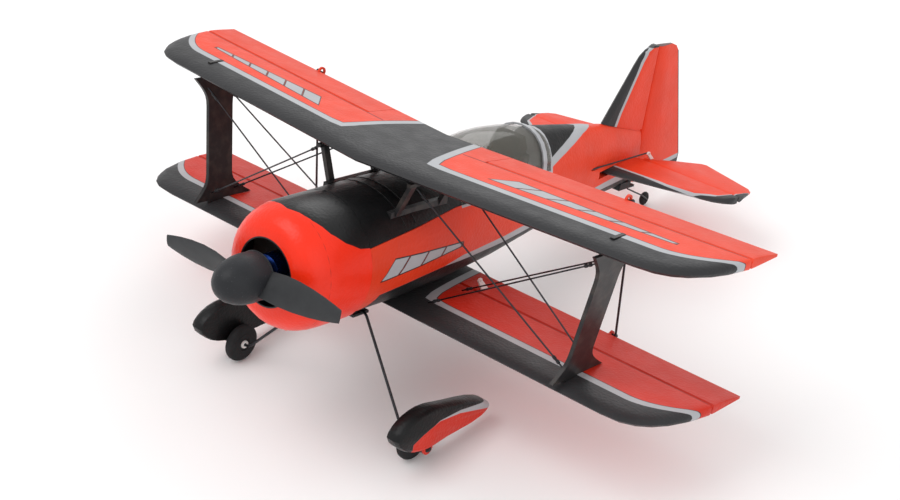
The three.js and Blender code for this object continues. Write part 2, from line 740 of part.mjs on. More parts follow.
// The streamlined half spat outboard of the wheel.
function spat() {
  const control = [
    [58.9, -68.4],
    [64.4, -61.2],
    [78, -56.9],
    [99, -59.6],
    [127, -65.8],
    [133, -70.2],
    [128, -74.3],
    [100, -78.8],
    [84, -80.8],
    [68, -77],
  ].map(([y, z]) => new THREE.Vector3(0, y, z));
  const outline = new THREE.CatmullRomCurve3(control, true, "centripetal").getPoints(30).slice(0, 30);
  const centre = new THREE.Vector3(0, 92, -69);
  const ring = (x, inset) =>
    outline.map((p) => {
      const away = p.clone().sub(centre);
      return away.setLength(away.length() - inset).add(centre).setX(x);
    });
  const { inner, outer, round } = PANT;
  const shell = loft([ring(inner, 0.6), ring(inner + 1, 0), ring(outer - round, 0), ring(outer - 0.9, 1), ring(outer, 3)]);
  const lug = rod([inner, WHEEL.y, WHEEL.z], [outer - 2.2, WHEEL.y, WHEEL.z], 3.4, 18);
  const bore = rod([inner - 1, WHEEL.y, WHEEL.z], [GEAR.outerX + GAP, WHEEL.y, WHEEL.z], GEAR.wire + GAP, 12);
  return cut(join(shell, lug), bore);
}

function tyre(radius, hub, width, x, y, z, sides) {
  const half = width / 2;
  const points = [];
  const depth = radius - hub;
  for (let i = 0; i <= 6; i++) {
    const a = Math.PI * (i / 6);
    points.push([radius - depth * 0.55 * (1 - Math.sin(a) ** 0.8), -half * Math.cos(a)]);
  }
  const profile = [[hub, -half * 0.8], ...points, [hub, half * 0.8], [hub, -half * 0.8]];
  return turnedAcross(profile, x, y, z, sides);
}

function wheelHub() {
  const half = WHEEL.width / 2;
  const bore = GEAR.wire + GAP;
  const rim = WHEEL.hub - GAP;
  const profile = [
    [bore, -half - 0.6],
    [2.2, -half - 0.6],
    [2.4, -half + 0.6],
    [rim - 1.1, -half + 0.6],
    [rim - 0.8, -half],
    [rim, -half],
    [rim, half],
    [bore, half],
    [bore, -half - 0.6],
  ];
  return turnedAcross(profile, WHEEL.x, WHEEL.y, WHEEL.z, 22);
}

function gearPlate() {
  const top = GEAR.z - GEAR.wire - GAP;
  return box(-GEAR.topX + 3, GEAR.topX - 3, GEAR.y - 6, GEAR.y + 6, top - 1.4, top);
}

function tailWire() {
  const { y, z, side, wire: radius, width } = TAILWHEEL;
  const corners = [
    [0, RUDDER.axis, RUDDER.bottom - 0.4],
    [0, RUDDER.axis, RUDDER.bottom - 5],
    [side, y - 9, z + 5],
    [side, y, z],
    [-width / 2 - 0.6, y, z],
  ];
  return wire(corners, radius, 1.2, 6);
}

function tailBracket() {
  const pad = box(-3.4, 3.4, 341, 352.5, RUDDER.bottom - 1.6, -12);
  const arm = box(-3, 3, 341, RUDDER.axis + 2.6, RUDDER.bottom - 2.8, RUDDER.bottom - 1.4);
  const bore = rod([0, RUDDER.axis, -30], [0, RUDDER.axis, 0], TAILWHEEL.wire + FREE, 12);
  return cut(join(pad, arm), skin(GAP, 300, 353.9), bore);
}

// ---- rigging ----
// The moulded cabane of one side: two raked legs between a foot rail and a head rail.
function cabane() {
  const head = TOP.z - TOP.thick / 2 - GAP - 0.3;
  const { footX, topX, front, rear, bar } = CABANE;
  const half = bar / 2;
  const foot = 22;
  const leg = (y) => box(-half, half, y - half * 1.5, y + half * 1.5, foot, head);
  const legs = shear(join(leg(front), leg(rear)), 0, (p) => lerp(footX, topX, (p[2] - 24) / (head - 24)));
  const headRail = box(topX - half, topX + half, front - 4, rear + 4, head - 1.8, head);
  const footRail = box(footX - 1.6, footX + 1.4, front - 5, rear + 5, foot, 27.4);
  return cut(join(legs, headRail, footRail), skin(GAP, 60, 200));
}

const wireEnds = {
  rootX: 34,
  rootZ: LOW.z + 4.2,
  headX: strutX(40) - STRUT.thick / 2 - GAP,
  headZ: 40,
  cabaneX: CABANE.topX + CABANE.bar / 2 + GAP + 0.4,
  cabaneZ: 43,
  footX: strutX(-21) - STRUT.thick / 2 - GAP,
  footZ: -21,
};

const rigging = [
  ["flying_wire_front", [wireEnds.rootX, 120, wireEnds.rootZ], [wireEnds.headX, 111, wireEnds.headZ]],
  ["flying_wire_rear", [wireEnds.rootX, 148, wireEnds.rootZ], [wireEnds.headX, 124, wireEnds.headZ]],
  ["landing_wire_front", [wireEnds.cabaneX, CABANE.front, wireEnds.cabaneZ], [wireEnds.footX, 114, wireEnds.footZ]],
  ["landing_wire_rear", [wireEnds.cabaneX, CABANE.rear, wireEnds.cabaneZ], [wireEnds.footX, 132, wireEnds.footZ]],
];

// The rod that ties an upper aileron to the lower one, with a ball and a cross pin at each end.
function linkRod() {
  const low = linkPivot(LOW);
  const high = linkPivot(TOP);
  const x = LINK.x + LINK.side;
  const ends = [low, high].map((p) => [x, p.y, p.z]);
  const pins = ends.map(([px, y, z]) => rod([px, y, z], [LINK.x - 1, y, z], LINK.pin, 8));
  return join(rod(...ends, LINK.rod, 8), ...ends.map((e) => ball(...e, LINK.ball)), ...pins);
}

// ---- inside the fuselage ----
function battery() {
  const ring = (y, inset) => {
    const points = [];
    for (let i = 0; i < 20; i++) {
      const a = (2 * Math.PI * i) / 20;
      const x = Math.sign(Math.cos(a)) * (PACK.half - inset) * Math.abs(Math.cos(a)) ** 0.35;
      const z = BAY.floor + PACK.tall + 0.5 + Math.sign(Math.sin(a)) * (PACK.tall - inset) * Math.abs(Math.sin(a)) ** 0.35;
      points.push(new THREE.Vector3(x, y, z));
    }
    return points;
  };
  return loft([ring(PACK.front, 0.8), ring(PACK.front + 1, 0), ring(PACK.rear - 1, 0), ring(PACK.rear, 0.8)]);
}

function receiver() {
  const { half, front, rear } = BOARD_EDGE;
  const board = box(-half, half, front, rear, BAY.floor + 2, BAY.floor + 3.2);
  const servos = [-7, 2].map((x) => box(x, x + 5.5, front + 2, rear - 3, BAY.floor + 3, BAY.floor + 8));
  const chip = box(-1, 1.6, front + 4, front + 10, BAY.floor + 3, BAY.floor + 4.4);
  return join(board, ...servos, chip, box(-half, half, front + 1, front + 3, BAY.floor + GAP, BAY.floor + 2.1));
}

function aileronServo() {
  const y = LOW.lead + 22;
  const top = LOW.z + LOW.thick / 2 + GAP;
  const body = box(-11, 11, y, y + 9, top + GAP, top + 8);
  const arm = box(-14, 14, y + 9 - 0.1, y + 10.2, top + 4, top + 6);
  return join(body, arm);
}

const servoWell = () => box(-15, 15, LOW.lead + 21, LOW.lead + 33, LOW.z, LOW.z + LOW.thick / 2 + 9.4);

function seat() {
  const floor = COCKPIT.floor + GAP;
  const outline = [
    [188, floor],
    [222, floor],
    [223, 34],
    [219, 42],
    [214, 41.5],
    [211, 34],
    [207, floor + 7],
    [190, floor + 6],
  ];
  const back = plate(outline, -10.5, 10.5);
  const sides = [-1, 1].map((s) => box(s > 0 ? 8 : -20, s > 0 ? 20 : -8, 180, 230, 31, 50));
  return cut(back, ...sides);
}

function instrumentPanel() {
  const floor = COCKPIT.floor + GAP;
  const outline = [
    [COCKPIT.front + GAP, floor],
    [COCKPIT.front + 3, floor],
    [COCKPIT.front + 5, 18],
    [COCKPIT.front + 8, 27],
    [COCKPIT.front + 4, 30],
    [COCKPIT.front + GAP, 29],
  ];
  return plate(outline, -13.5, 13.5);
}

function hatch() {
  const outline = [
    [80, -40],
    [88, -40],
    [88, -24],
    [80, -24],
  ];
  return plate(outline, -9, 9).intersect(cut(skin(0.9, 60, 200), skin(GAP, 50, 210)));
}

// ---- the model ----
const aircraft = new THREE.Group();
const add = (name, solid, look) => {
  const mesh = new THREE.Mesh(geometryOf(solid), new THREE.MeshStandardMaterial(look));
  mesh.name = name;
  aircraft.add(mesh);
};
const addPair = (name, solid, look) =>
  bothSides(solid).forEach((side, i) => add(`${name}_${i ? "right" : "left"}`, side, look));

const openFor = (w, tools) => {
  const bays = bothSides(behindHinge(w, w.cut, 0, 0));
  return cut(wholeWing(w), ...bays, ...tools);
};
add("top_wing", openFor(TOP, bothSides(strutSlots)), ORANGE);
add("lower_wing", openFor(LOW, bothSides(strutSlots)), ORANGE);
addPair("aileron_top", aileron(TOP, 1.8), ORANGE);
addPair("aileron_lower", aileron(LOW, 0.8), ORANGE);
addPair("interplane_strut", strutSolid, BLACK);
addPair("cabane", cabane(), PLASTIC);
for (const [name, from, to] of rigging) addPair(name, rod(from, to, WIRE_R, 6), STEEL);
addPair("link_rod", linkRod(), CARBON);

add("fuselage", cut(fuselage(), servoWell()), ORANGE);
add("hood", hood(), BLACK);
add("cowl", cowl(), ORANGE);
add("canopy", canopy(), SMOKE);
add("canopy_bow", bow(), SILVER);
add("seat", seat(), BLACK);
add("instrument_panel", instrumentPanel(), BLACK);
add("belly_hatch", hatch(), BLACK);
add("fin", fin(), ORANGE);
add("rudder", rudder(), ORANGE);
add("stabilizer", stabilizer(), ORANGE);
addPair("elevator", elevatorHalf(), ORANGE);
add("elevator_joiner", rod([-17.6, TAIL.hinge, TAIL.z], [17.6, TAIL.hinge, TAIL.z], JOINER_R, 12), CARBON);
add("elevator_horn", elevatorHorn(), WHITE);
add("rudder_horn", rudderHorn(), WHITE);
addPair("aileron_horn", aileronHorn(), WHITE);
add("elevator_pushrod", elevatorRod(), CARBON);
add("rudder_pushrod", rudderRod(), CARBON);

add("spinner", spinner(), PLASTIC);
add("propeller", propeller(), PLASTIC);
add("motor_shaft", rod([0, PROP.y - 6, 0], [0, FIREWALL.y - 1, 0], SHAFT_R, 12), STEEL);
add("motor_bell", motorBell(), BLUE);
add("motor_base", motorBase(), STEEL);
add("firewall", firewall(), CARBON);
add("battery", battery(), SILVER);
add("receiver", receiver(), BOARD);
add("aileron_servo", aileronServo(), PLASTIC);

add("landing_gear", gearWire(), STEEL);
add("gear_plate", gearPlate(), PLASTIC);
const mainTyre = tyre(WHEEL.radius, WHEEL.hub, WHEEL.width, WHEEL.x, WHEEL.y, WHEEL.z, 26);
addPair("tyre", mainTyre, RUBBER);
addPair("hub", wheelHub(), WHITE);
addPair("wheel_pant", spat(), BLACK);
add("tail_bracket", tailBracket(), SILVER);
add("tail_wire", tailWire(), STEEL);
const tailHub = TAILWHEEL.wire + FREE;
const tailTyre = tyre(TAILWHEEL.radius, tailHub, TAILWHEEL.width, 0, TAILWHEEL.y, TAILWHEEL.z, 18);
add("tail_tyre", tailTyre, RUBBER);

// Pitch at which the main wheels and the tail wheel share one ground plane.
const runY = TAILWHEEL.y - WHEEL.y;
const runZ = TAILWHEEL.z - WHEEL.z;
const drop = (TAILWHEEL.radius - WHEEL.radius) / Math.hypot(runY, runZ);
aircraft.rotation.x = Math.asin(drop) - Math.atan2(runZ, runY);

const group = new THREE.Group();
group.add(aircraft);
group.updateMatrixWorld(true);
const extent = new THREE.Box3().setFromObject(group, true);
aircraft.position.set(
  -(extent.min.x + extent.max.x) / 2,
  -(extent.min.y + extent.max.y) / 2,
  -extent.min.z,
);

export default group;
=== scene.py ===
"""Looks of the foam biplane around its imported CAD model."""

import json
import math

import bmesh
import bpy
from mathutils import Matrix, Vector
from mathutils.bvhtree import BVHTree


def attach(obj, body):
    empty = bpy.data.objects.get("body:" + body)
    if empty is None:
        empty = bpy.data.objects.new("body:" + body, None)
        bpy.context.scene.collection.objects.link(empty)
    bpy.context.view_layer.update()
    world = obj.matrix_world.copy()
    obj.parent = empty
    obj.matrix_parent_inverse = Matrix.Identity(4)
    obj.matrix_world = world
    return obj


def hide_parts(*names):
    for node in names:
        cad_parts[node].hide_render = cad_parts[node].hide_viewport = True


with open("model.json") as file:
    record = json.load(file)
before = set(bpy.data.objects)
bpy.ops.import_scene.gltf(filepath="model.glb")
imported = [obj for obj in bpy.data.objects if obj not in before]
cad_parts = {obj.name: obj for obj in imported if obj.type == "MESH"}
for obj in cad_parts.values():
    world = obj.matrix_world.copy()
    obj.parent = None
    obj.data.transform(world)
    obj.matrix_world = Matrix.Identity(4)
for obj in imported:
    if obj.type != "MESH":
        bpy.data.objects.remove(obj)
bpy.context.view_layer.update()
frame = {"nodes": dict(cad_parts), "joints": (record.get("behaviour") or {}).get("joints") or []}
NODES = frame["nodes"]

# ---- the level frame: nose towards -Y, port wing +X, z = 0 on the thrust line, in millimetres ----
SPIN_AT = 21.5  # level y of the propeller joint
spin = next(j for j in frame["joints"] if j["name"] == "propeller_spin")
AXIS_X = Vector((1, 0, 0))
AXIS_Y = Vector(spin["axis"]).normalized()
AXIS_Z = AXIS_X.cross(AXIS_Y)
ORIGIN = Vector(spin["pos_m"]) - AXIS_Y * (SPIN_AT / 1000)
LEVEL = Matrix((AXIS_X, AXIS_Y, AXIS_Z)).transposed()


def row(x, y, z):
    """A point of the level frame, in millimetres, as a point of the row frame, in metres."""
    return ORIGIN + LEVEL @ Vector((x, y, z)) / 1000


# ---- camera: the photograph's viewpoint, found by fitting the model to it ----
CAMERA_AZ, CAMERA_EL, CAMERA_ROLL = (math.radians(a) for a in (36.203, 22.683, 9.579))
CAMERA_AT = (481.38, -480.02, 319.07)
LENS, SENSOR = 63.47, 36
back = Vector(
    (
        math.sin(CAMERA_AZ) * math.cos(CAMERA_EL),
        -math.cos(CAMERA_AZ) * math.cos(CAMERA_EL),
        math.sin(CAMERA_EL),
    )
)
right = Vector((math.cos(CAMERA_AZ), math.sin(CAMERA_AZ), 0))
up = back.cross(right)
cam_x = right * math.cos(CAMERA_ROLL) + up * math.sin(CAMERA_ROLL)
cam_y = up * math.cos(CAMERA_ROLL) - right * math.sin(CAMERA_ROLL)
camera_data = bpy.data.cameras.new("camera")
camera_data.lens = LENS
camera_data.sensor_width = SENSOR
camera_data.clip_start = 0.01
camera = bpy.data.objects.new("camera", camera_data)
bpy.context.collection.objects.link(camera)
turn = LEVEL @ Matrix((cam_x, cam_y, back)).transposed()
camera.matrix_world = Matrix.Translation(row(*CAMERA_AT)) @ turn.to_4x4()
bpy.context.scene.camera = camera
bpy.context.scene.view_settings.view_transform = "Standard"


COAT_ROUGHNESS = 0.25


# ---- numbers that vary over a surface, as Math nodes ----
class Num:
    """A number built from Math nodes. Signed distances in millimetres are positive inside a painted area."""

    def __init__(self, tree, out):
        self.tree, self.out = tree, out

    def op(self, name, *others):
        node = self.tree.nodes.new("ShaderNodeMath")
        node.operation = name
        for socket, value in zip(node.inputs, (self, *others)):
            if isinstance(value, Num):
                self.tree.links.new(value.out, socket)
            else:
                socket.default_value = value
        return Num(self.tree, node.outputs[0])

    def __add__(self, o):
        return self.op("ADD", o)

    def __sub__(self, o):
        return self.op("SUBTRACT", o)

    def __mul__(self, o):
        return self.op("MULTIPLY", o)

    def __neg__(self):
        return self.op("MULTIPLY", -1)

    def __abs__(self):
        return self.op("ABSOLUTE")

    def low(self, o):
        return self.op("MINIMUM", o)

    def high(self, o):
        return self.op("MAXIMUM", o)

    def ramp(self, a, b, to_a=0.0, to_b=1.0):
        """to_a below a, to_b above b, straight between."""
        node = self.tree.nodes.new("ShaderNodeMapRange")
        self.tree.links.new(self.out, node.inputs["Value"])
        keys = ("From Min", "From Max", "To Min", "To Max")
        for key, value in zip(keys, (a, b, to_a, to_b)):
            node.inputs[key].default_value = value
        return Num(self.tree, node.outputs[0])

    def over(self, edge=0.0, soft=0.12):
        """1 where the number is over the edge, 0 where it is under."""
        return (self - edge).ramp(-soft, soft)

    def line(self, *points):
        """Straight pieces through (number, value) points, level beyond both ends."""
        total = None
        for (a, va), (b, vb) in zip(points, points[1:]):
            piece = self.ramp(a, b, 0, vb - va)
            total = piece if total is None else total + piece
        return total + points[0][1]


class Paint:
    """A material's node tree, with the level coordinates of each point in millimetres."""

    def __init__(self, name):
        self.material = bpy.data.materials.new(name)
        self.material.use_nodes = True
        self.tree = self.material.node_tree
        self.shader = self.tree.nodes["Principled BSDF"]
        coords = self.tree.nodes.new("ShaderNodeTexCoord")
        self.place = coords.outputs["Object"]
        self.x, self.y, self.z = (self.dot(axis) for axis in (AXIS_X, AXIS_Y, AXIS_Z))

    def dot(self, axis):
        """Distance from the level origin along one of its axes."""
        node = self.tree.nodes.new("ShaderNodeVectorMath")
        node.operation = "DOT_PRODUCT"
        self.tree.links.new(self.place, node.inputs[0])
        node.inputs[1].default_value = axis
        return (Num(self.tree, node.outputs["Value"]) - axis.dot(ORIGIN)) * 1000

    def noise(self, size, detail=2.0):
        """Soft noise from 0 to 1, with lumps of that size in millimetres."""
        node = self.tree.nodes.new("ShaderNodeTexNoise")
        node.inputs["Scale"].default_value = 1000 / size
        node.inputs["Detail"].default_value = detail
        self.tree.links.new(self.place, node.inputs["Vector"])
        return Num(self.tree, node.outputs["Fac"])

    def cells(self, size):
        """Distance within cells of that size in millimetres, as in moulded bead foam."""
        node = self.tree.nodes.new("ShaderNodeTexVoronoi")
        node.inputs["Scale"].default_value = 1000 / size
        self.tree.links.new(self.place, node.inputs["Vector"])
        return Num(self.tree, node.outputs["Distance"])

    def mix(self, under, over, mask):
        node = self.tree.nodes.new("ShaderNodeMix")
        node.data_type = "RGBA"
        for key, value in (("A", under), ("B", over)):
            socket = [s for s in node.inputs if s.name == key and s.type == "RGBA"][0]
            if isinstance(value, tuple):
                socket.default_value = (*value, 1)
            else:
                self.tree.links.new(value, socket)
        self.tree.links.new(mask.out, node.inputs["Factor"])
        return [s for s in node.outputs if s.type == "RGBA"][0]

    def shade(self, colour, amount, size):
        """Slow light and dark drift of the colour."""
        node = self.tree.nodes.new("ShaderNodeHueSaturation")
        if isinstance(colour, tuple):
            node.inputs["Color"].default_value = (*colour, 1)
        else:
            self.tree.links.new(colour, node.inputs["Color"])
        drift = self.noise(size).ramp(0.3, 0.7, 1 - amount, 1 + amount)
        self.tree.links.new(drift.out, node.inputs["Value"])
        return node.outputs["Color"]

    def bump(self, *layers):
        """Each layer is (height from 0 to 1, depth in millimetres)."""
        normal = None
        for height, depth in layers:
            node = self.tree.nodes.new("ShaderNodeBump")
            node.inputs["Strength"].default_value = 1
            node.inputs["Distance"].default_value = depth / 1000
            self.tree.links.new(height.out, node.inputs["Height"])
            if normal is not None:
                self.tree.links.new(normal, node.inputs["Normal"])
            normal = node.outputs["Normal"]
        self.tree.links.new(normal, self.shader.inputs["Normal"])

    def finish(self, colour, rough=(0.4, 0.5), size=9, metal=0.0, coat=0.0, gloss=0.22):
        self.shader.inputs["Specular IOR Level"].default_value = gloss
        self.tree.links.new(colour, self.shader.inputs["Base Color"])
        roughness = self.noise(size, 4).ramp(0.3, 0.7, *rough)
        self.tree.links.new(roughness.out, self.shader.inputs["Roughness"])
        self.shader.inputs["Metallic"].default_value = metal
        self.shader.inputs["Coat Weight"].default_value = coat
        self.shader.inputs["Coat Roughness"].default_value = COAT_ROUGHNESS
        return self.material


# ---- colours, linear ----
ORANGE = (0.76, 0.046, 0.012)
WING_ORANGE = (0.82, 0.056, 0.018)
# painted shade: a darker copy of the orange for the lower wing under the top wing and for the pants' foot
SHADED_LOW_ORANGE = (0.62, 0.024, 0.008)
COWL_ORANGE = (0.86, 0.026, 0.005)
SILVER = (0.42, 0.43, 0.45)
BLACK = (0.014, 0.014, 0.015)
EDGE_BLACK = (0.030, 0.030, 0.032)
HOOD_BLACK = (0.006, 0.006, 0.0065)
# painted shade in the hinge groove
GROOVE_SHADE_RED = (0.30, 0.004, 0.002)
BEAD = 1.7  # size of a foam bead, mm
LINE_EDGE = 0.7  # black line round a decal
DART_CUT = 8  # half the distance between a dart's cuts
DART_SLANT = 0.9
DART_TIP = 0.8  # half width of a dart's thin end


def foam(paint, colour, rough=(0.36, 0.48), bead_depth=0.11):
    """Painted bead foam: faint beads, moulding pits and a slow wave in the skin."""
    paint.bump(
        (paint.cells(BEAD), bead_depth),
        (paint.noise(0.6, 3), 0.05),
        (paint.noise(26, 1), 0.3),
    )
    return paint.finish(paint.shade(colour, 0.05, 22), rough)


def dart(p, colour, along, across, span, middle, half):
    """A tapering silver dart with a black edge and slanted cuts.

    It is a plain design in the place of the model's lettering.
    """
    taper = along.ramp(span[0], span[1], half, DART_TIP)
    slanted = along - across * DART_SLANT
    shape = (taper - abs(across - middle)).low(slanted - span[0]).low(-along + span[1])
    shape = shape.low(slanted.op("PINGPONG", DART_CUT) - 0.8)
    colour = p.mix(colour, BLACK, shape.over(-LINE_EDGE))
    return p.mix(colour, SILVER, shape.over())


BAND_AFT = 17  # from a wing's leading edge to its silver band
BAND = 4.6  # width of the band
TIP_SPAN = (155, 189)  # where the band sweeps back to the tip
TIP_SWEEP = 24
CENTRE_HALF = 17.5  # half width of the black centre at its apex
CENTRE_TAPER = 0.213


def wing_paint(name, orange, wing):
    """Black leading edge and centre, silver edging band, and the orange behind, darkened towards the
    trailing edge as painted shade.
    """
    p = Paint(name)
    ax = abs(p.x)
    aft = p.y - ax * wing["sweep"] - wing["lead"]
    tip = ax.ramp(*TIP_SPAN)
    behind = aft - BAND_AFT - tip * tip * TIP_SWEEP
    inboard = ax - CENTRE_HALF + (p.y - wing["apex"]) * CENTRE_TAPER
    m = behind.low(inboard)
    m = m - (-abs(behind - inboard) + 9).high(0) * 0.12  # rounded corner
    # painted shade: the orange darkens from 20 to 70 mm behind the leading edge
    aft_shaded_orange = p.mix(orange, tuple(c * 0.88 for c in orange), aft.ramp(20, 70))
    colour = p.mix(EDGE_BLACK, SILVER, m.over())
    colour = p.mix(colour, BLACK, m.over(BAND))
    colour = p.mix(colour, aft_shaded_orange, m.over(BAND + 0.5))
    if wing["dart"]:
        colour = dart(p, colour, ax, aft, wing["dart"], 33.5, 6.5)
    # painted shade: a dark red line along the hinge groove, out to the tip
    hinge_groove_shade = (-abs(aft - wing["hinge"]) + 0.55).low(m - 6).low(-ax + wing["span"])
    colour = p.mix(colour, GROOVE_SHADE_RED, hinge_groove_shade.over())
    return foam(p, colour)


BELLY = ((80, -24), (84, -13), (110, -10), (134, -8.8), (160, -9.6), (217, -9.8), (300, -8.5), (372, -7))
STRIPE = ((134, 0), (148, 3.4), (202, 4.8), (372, 5.4))
WINDOW = ((222, 21.5), (249, 30.5), (279, 39.6), (296, 43))
FRAME = 5.6  # width of the silver frame below the rear window


def body_paint():
    """Orange sides, a black belly under a silver stripe, and the canopy's surround."""
    p = Paint("body_paint")
    ax = abs(p.x)
    belly = p.y.line(*BELLY)
    stripe = p.y.line(*STRIPE)
    colour = p.mix(ORANGE, SILVER, (belly + stripe - p.z).over())
    colour = p.mix(colour, BLACK, (belly - p.z).over())
    colour = dart(p, colour, p.y, p.z, (84, 146), 1.5, 5)
    # silver frame and black rear window behind the canopy
    window = ax.line((0, 3), (20, -3)) + p.z - p.y.line(*WINDOW)
    colour = p.mix(colour, SILVER, (window + FRAME).low(p.y - 226).low(-p.y + 300).over())
    colour = p.mix(colour, HOOD_BLACK, window.low(p.y - 229).low(-p.y + 290).over())
    sill = (p.z - 19.7).low(-p.y + 238).low(p.y - 147)
    colour = p.mix(colour, SILVER, sill.over())
    deck = (p.z - 20.9).low(-p.y + 230).low(p.y - 143)
    colour = p.mix(colour, HOOD_BLACK, deck.over())
    cockpit = (-p.y + 226).low(-ax + 15.6).low(p.y - 75)
    colour = p.mix(colour, HOOD_BLACK, cockpit.over())
    return foam(p, colour)


# edge of the hood's black on the cowl: (level y, degrees from the top)
HOOD_EDGE = ((41, -4), (42.8, 7), (45.4, 25), (50.5, 42), (57.2, 53), (65.5, 61), (75, 63.6))


def cowl_paint():
    """Glossier orange, the hood's black running on over the top, and black inside as painted shade."""
    p = Paint("cowl_paint")
    angle = abs(p.x).op("ARCTAN2", p.z) * math.degrees(1)
    radius = (p.x * p.x + p.z * p.z).op("SQRT")
    colour = p.mix(COWL_ORANGE, HOOD_BLACK, (p.y.line(*HOOD_EDGE) - angle).over(0, 0.3))
    # painted shade: black over the cowl's inner walls, in the mouth's recess
    inside = (-radius + 17.9).high((-radius + 32.0).low(p.y - 44))
    colour = p.mix(colour, BLACK, inside.over())
    p.bump((p.cells(BEAD), 0.10), (p.noise(0.6, 3), 0.06), (p.noise(18, 1), 0.2))
    return p.finish(p.shade(colour, 0.03, 20), (0.3, 0.38), coat=0.15)


def fin_paint():
    """Black leading edge with a silver line behind it, and the same at the rudder's foot."""
    p = Paint("fin_paint")
    lead = p.z.line((27, 320.5), (37, 323.6), (55.2, 331.8), (67.9, 337.6), (74, 342), (77, 349))
    m = p.y - lead
    colour = p.mix(EDGE_BLACK, SILVER, m.over())
    colour = p.mix(colour, ORANGE, m.over(2.8))
    trail = p.y - p.z.line((-14, 410), (-4, 410), (70, 381))
    foot = (p.y - 389) * 0.08 - 5.5 - p.z
    colour = p.mix(colour, SILVER, foot.low(p.y - 380).over())
    colour = p.mix(colour, EDGE_BLACK, (foot - 3.2).low(p.y - 384).over())
    return foam(p, p.mix(colour, EDGE_BLACK, trail.high(p.z - 75.9).over()))


def tailplane_paint():
    p = Paint("tailplane_paint")
    ax = abs(p.x)
    lead = ax.line((10, 318.6), (44, 322.6), (61, 327), (72, 336), (77.5, 352), (79.6, 372))
    m = p.y - lead
    colour = p.mix(EDGE_BLACK, SILVER, m.over())
    colour = p.mix(colour, ORANGE, m.over(2.4))
    return foam(p, colour)


def black_foam(name, base=HOOD_BLACK, rough=(0.32, 0.44), bead=0.12):
    p = Paint(name)
    p.bump((p.cells(BEAD), bead), (p.noise(0.5, 3), 0.07), (p.noise(20, 1), 0.2))
    speck = p.noise(0.8, 4).ramp(0.66, 0.74)
    colour = p.mix(base, tuple(c * 2.4 + 0.01 for c in base), speck)
    return p.finish(p.shade(colour, 0.12, 15), rough)


def plastic(name, base, rough=(0.34, 0.46), grain=0.012, metal=0.0):
    p = Paint(name)
    p.bump((p.noise(0.35, 3), grain), (p.noise(6, 1), 0.03))
    return p.finish(p.shade(base, 0.08, 5), rough, metal=metal)


def drawn_metal(name, base, rough):
    """Drawn or turned metal: fine lines along the level y axis."""
    p = Paint(name)
    lines = (p.z * 9 + p.x * 3).op("SINE").ramp(-1, 1)
    p.bump((lines, 0.004), (p.noise(0.3, 3), 0.006))
    return p.finish(p.shade(base, 0.1, 3), rough, metal=1.0)


def strut_paint():
    """Black struts with a fine weave and a brownish tone in places."""
    p = Paint("strut_paint")
    weave = (p.y * 5).op("SINE") * (p.z * 5).op("SINE")
    p.bump((weave.ramp(-1, 1), 0.01), (p.noise(0.5, 3), 0.02))
    colour = p.mix((0.020, 0.019, 0.020), (0.050, 0.042, 0.038), p.noise(7, 3).ramp(0.45, 0.7))
    return p.finish(colour, (0.28, 0.4))


def pant_paint():
    """Black wheel pant, with an orange foot and a plain silver sweep on its outer face."""
    p = Paint("pant_paint")
    top = p.y.line((70, -73.5), (78, -69.8), (90, -65.6), (106, -66.2), (134, -71.6))
    sweep = p.y.line((86, 0), (110, 2.2), (131, 4.6))
    face = (abs(p.x) - 72.6).low(p.y - 71)
    colour = p.mix(HOOD_BLACK, SILVER, (top + sweep - p.z).low(face).over())
    # the pant's foot takes the darker orange, which is painted shade
    colour = p.mix(colour, SHADED_LOW_ORANGE, (top - p.z).low(face).over())
    return foam(p, colour, (0.3, 0.4))


def glass():
    p = Paint("smoke_glass")
    p.bump((p.noise(30, 1), 0.2), (p.noise(0.8, 2), 0.002))
    tint = p.mix((0.10, 0.095, 0.075), (0.14, 0.13, 0.10), p.noise(24, 2))
    material = p.finish(tint, (0.04, 0.09), gloss=0.8)
    p.shader.inputs["Alpha"].default_value = 0.38
    material.surface_render_method = "BLENDED"
    return material


def tyre_paint():
    p = Paint("tyre_foam")
    p.bump((p.cells(0.9), 0.05), (p.noise(0.3, 3), 0.03))
    return p.finish(p.shade((0.016, 0.016, 0.017), 0.2, 4), (0.6, 0.75))


def board():
    p = Paint("circuit_board")
    lines = (p.x * 4).op("SINE").high((p.y * 4).op("SINE")).over(0.9, 0.05)
    colour = p.mix((0.012, 0.09, 0.035), (0.05, 0.20, 0.09), lines)
    p.bump((lines, 0.03))
    return p.finish(colour, (0.3, 0.4))


def wrap(name, base, band):
    """Shrink-wrapped pack with a plain paler band."""
    p = Paint(name)
    stripe = (p.y - 96).low(-p.y + 118)
    p.bump((p.noise(5, 2), 0.12), (p.noise(0.6, 2), 0.01))
    return p.finish(p.shade(p.mix(base, band, stripe.over()), 0.08, 8), (0.22, 0.34))


TOP_WING = {"lead": 84.6, "sweep": 0.121, "apex": 157, "hinge": 49.1, "span": 186, "dart": (34, 158)}
LOW_WING = {"lead": 106.5, "sweep": 0, "apex": 170, "hinge": 50.0, "span": 184, "dart": None}
top_wing_paint = wing_paint("top_wing_paint", WING_ORANGE, TOP_WING)
